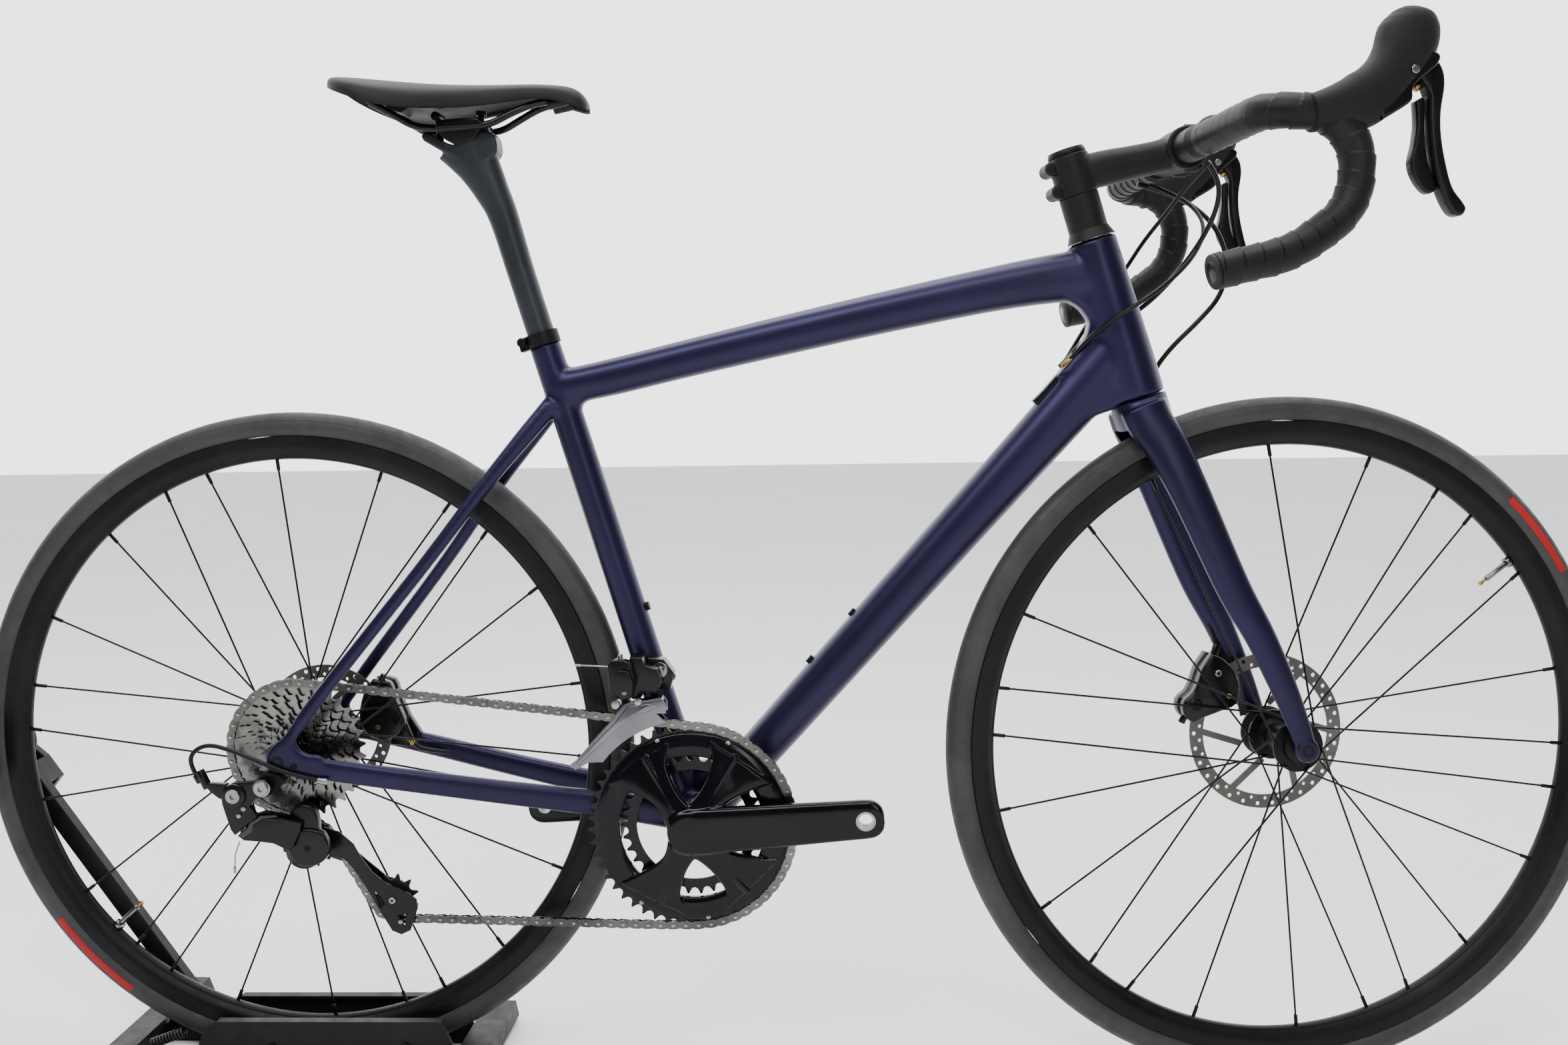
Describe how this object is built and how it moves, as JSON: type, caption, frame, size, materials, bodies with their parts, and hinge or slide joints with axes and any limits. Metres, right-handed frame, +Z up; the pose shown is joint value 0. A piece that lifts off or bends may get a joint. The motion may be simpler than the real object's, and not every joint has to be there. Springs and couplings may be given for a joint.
{
  "type": "bicycle on stand",
  "caption": "Drop-bar road bicycle with disc brakes and no pedals, held upright by its rear wheel in a low sprung floor stand.",
  "frame": {"origin": "on the floor straight under the rear axle, in the bicycle's centre plane", "axes": "+X forward along the bicycle, +Y to its left (away from the chain), +Z up"},
  "size_m": [1.7149, 0.4876, 1.0061],
  "materials": {
    "frame_paint": "satin metallic",
    "black_alloy": "satin anodised",
    "steel": "brushed",
    "spoke_steel": "black coated",
    "rotor_steel": "ground",
    "chain_steel": "nickel plated",
    "spring_steel": "drawn wire",
    "tyre": "matte",
    "rubber": "matte",
    "bar_tape": "perforated matte",
    "housing": "satin",
    "black_plastic": "fine texture",
    "saddle_cover": "matte synthetic",
    "stand_steel": "powder coat",
    "roller_plastic": "moulded"
  },
  "bodies": {
    "stand_base": {"stand_base": "stand_steel", "stand_walls": "stand_steel", "stand_feet": "rubber", "arm_spring": "spring_steel"},
    "stand_arm": {"stand_arm": "stand_steel"},
    "stand_roller": {"stand_roller": "roller_plastic"},
    "frame": {"head_tube": "frame_paint", "top_tube": "frame_paint", "down_tube": "frame_paint", "seat_tube": "frame_paint", "bb_shell": "frame_paint", "chainstays": "frame_paint", "seatstays": "frame_paint", "derailleur_hanger": "black_alloy", "seat_collar": "black_alloy", "rear_thru_axle": "steel", "rear_caliper": "black_alloy", "frame_bearings": "steel", "bottle_screws": "steel", "fd_body": "black_alloy", "rd_knuckle": "black_alloy", "chain": "chain_steel", "front_cables": "housing", "rd_housing": "housing"},
    "rear_wheel": {"rear_tyre": "tyre", "rear_rim": "black_alloy", "rear_spokes": "spoke_steel", "rear_hub": "black_alloy", "rear_rotor": "rotor_steel"},
    "cassette": {"cassette": "chain_steel"},
    "crankset": {"chainrings": "black_alloy", "crank_right": "black_alloy", "crank_left": "black_alloy"},
    "front_end": {"fork": "frame_paint", "front_thru_axle": "steel", "headset_spacers": "black_alloy", "stem": "black_alloy", "stem_faceplate": "black_alloy", "handlebar": "black_alloy", "bar_tape": "bar_tape", "hoods": "rubber", "front_caliper": "black_alloy"},
    "front_wheel": {"front_tyre": "tyre", "front_rim": "black_alloy", "front_spokes": "spoke_steel", "front_hub": "black_alloy", "front_rotor": "rotor_steel"},
    "brake_lever_right": {"brake_lever_right": "black_alloy"},
    "brake_lever_left": {"brake_lever_left": "black_alloy"},
    "shift_paddle_right": {"shift_paddle_right": "black_plastic"},
    "shift_paddle_left": {"shift_paddle_left": "black_plastic"},
    "seatpost": {"seatpost": "black_alloy"},
    "saddle": {"saddle_rails": "spoke_steel", "saddle_pad": "saddle_cover"},
    "rd_links": {"rd_links": "black_alloy"},
    "rd_mover": {"rd_mover": "black_alloy"},
    "rd_cage": {"rd_cage": "black_alloy"},
    "guide_pulley": {"guide_pulley": "black_plastic"},
    "tension_pulley": {"tension_pulley": "black_plastic"},
    "fd_cage": {"fd_cage": "steel"}
  },
  "joints": [
    {"name": "bike_lift", "type": "slide", "parent": "stand_base", "child": "frame", "axis": [0, 0, 1], "range_m": [0, 0.12]},
    {"name": "arm_pivot", "type": "hinge", "parent": "stand_base", "child": "stand_arm", "pos_m": [-0.124, 0, 0.017], "axis": [0, 1, 0], "range_deg": [-37, 0], "stiffness_Nm_per_rad": 14, "springref_deg": 20.05, "deforming": ["arm_spring"]},
    {"name": "roller_spin", "type": "hinge", "parent": "stand_arm", "child": "stand_roller", "pos_m": [-0.3514, 0, 0.332], "axis": [0, 1, 0], "continuous": true},
    {"name": "rear_wheel_spin", "type": "hinge", "parent": "frame", "child": "rear_wheel", "pos_m": [0, 0, 0.34], "axis": [0, 1, 0], "continuous": true},
    {"name": "crank_spin", "type": "hinge", "parent": "frame", "child": "crankset", "pos_m": [0.403, 0, 0.2665], "axis": [0, 1, 0], "continuous": true, "deforming": ["chain"]},
    {"name": "cassette_spin", "type": "hinge", "parent": "frame", "child": "cassette", "pos_m": [0, 0, 0.34], "axis": [0, 1, 0], "continuous": true},
    {"name": "steering", "type": "hinge", "parent": "frame", "child": "front_end", "pos_m": [0.94781, 0, 0.3275], "axis": [-0.284, 0, 0.9588], "range_deg": [-64, 46], "deforming": ["front_cables"]},
    {"name": "front_wheel_spin", "type": "hinge", "parent": "front_end", "child": "front_wheel", "pos_m": [0.98946, 0.00703, 0.33984], "axis": [-0.1533, 0.9871, -0.0454], "continuous": true},
    {"name": "brake_lever_right", "type": "hinge", "parent": "front_end", "child": "brake_lever_right", "pos_m": [1.04293, -0.16705, 0.95557], "axis": [-0.1533, 0.9871, -0.0454], "range_deg": [0, 17], "stiffness_Nm_per_rad": 1.2, "springref_deg": -14.32},
    {"name": "brake_lever_left", "type": "hinge", "parent": "front_end", "child": "brake_lever_left", "pos_m": [0.97916, 0.2436, 0.93668], "axis": [-0.1533, 0.9871, -0.0454], "range_deg": [0, 17], "stiffness_Nm_per_rad": 1.2, "springref_deg": -14.32},
    {"name": "shift_paddle_right", "type": "hinge", "parent": "brake_lever_right", "child": "shift_paddle_right", "pos_m": [1.04211, -0.16934, 0.90862], "axis": [-0.0035, 0.0454, 0.999], "range_deg": [0, 14], "stiffness_Nm_per_rad": 0.5, "springref_deg": -11.46},
    {"name": "shift_paddle_left", "type": "hinge", "parent": "brake_lever_left", "child": "shift_paddle_left", "pos_m": [0.97834, 0.24131, 0.88973], "axis": [0.0035, -0.0454, -0.999], "range_deg": [0, 14], "stiffness_Nm_per_rad": 0.5, "springref_deg": -11.46},
    {"name": "seatpost_height", "type": "slide", "parent": "frame", "child": "seatpost", "axis": [-0.284, 0, 0.9588], "range_m": [-0.06, 0.06]},
    {"name": "saddle_setback", "type": "slide", "parent": "seatpost", "child": "saddle", "axis": [1, 0, 0], "range_m": [-0.008, 0.008]},
    {"name": "rd_swing", "type": "hinge", "parent": "frame", "child": "rd_links", "pos_m": [-0.036, -0.076, 0.278], "axis": [0, 0, 1], "range_deg": [-22, 3], "deforming": ["rd_housing"]},
    {"name": "rd_mover", "type": "hinge", "parent": "rd_links", "child": "rd_mover", "pos_m": [0.008, -0.055, 0.278], "axis": [0, 0, 1], "range_deg": [-3, 22]},
    {"name": "rd_cage_tension", "type": "hinge", "parent": "rd_mover", "child": "rd_cage", "pos_m": [0.01, -0.05, 0.2425], "axis": [0, 1, 0], "range_deg": [-16, 40], "stiffness_Nm_per_rad": 0.6, "springref_deg": -34.38},
    {"name": "guide_pulley_spin", "type": "hinge", "parent": "rd_cage", "child": "guide_pulley", "pos_m": [0.01, -0.028, 0.2425], "axis": [0, 1, 0], "continuous": true},
    {"name": "tension_pulley_spin", "type": "hinge", "parent": "rd_cage", "child": "tension_pulley", "pos_m": [0.09372, -0.028, 0.18511], "axis": [0, 1, 0], "continuous": true},
    {"name": "fd_swing", "type": "slide", "parent": "frame", "child": "fd_cage", "axis": [0, 1, 0], "range_m": [0, 0.006]}
  ],
  "couplings": [
    {"joint": "cassette_spin", "follows": "crank_spin", "ratio": 1.4706},
    {"joint": "guide_pulley_spin", "follows": "crank_spin", "ratio": -4.5455},
    {"joint": "tension_pulley_spin", "follows": "crank_spin", "ratio": 4.5455},
    {"joint": "rd_mover", "follows": "rd_swing", "ratio": -1}
  ]
}
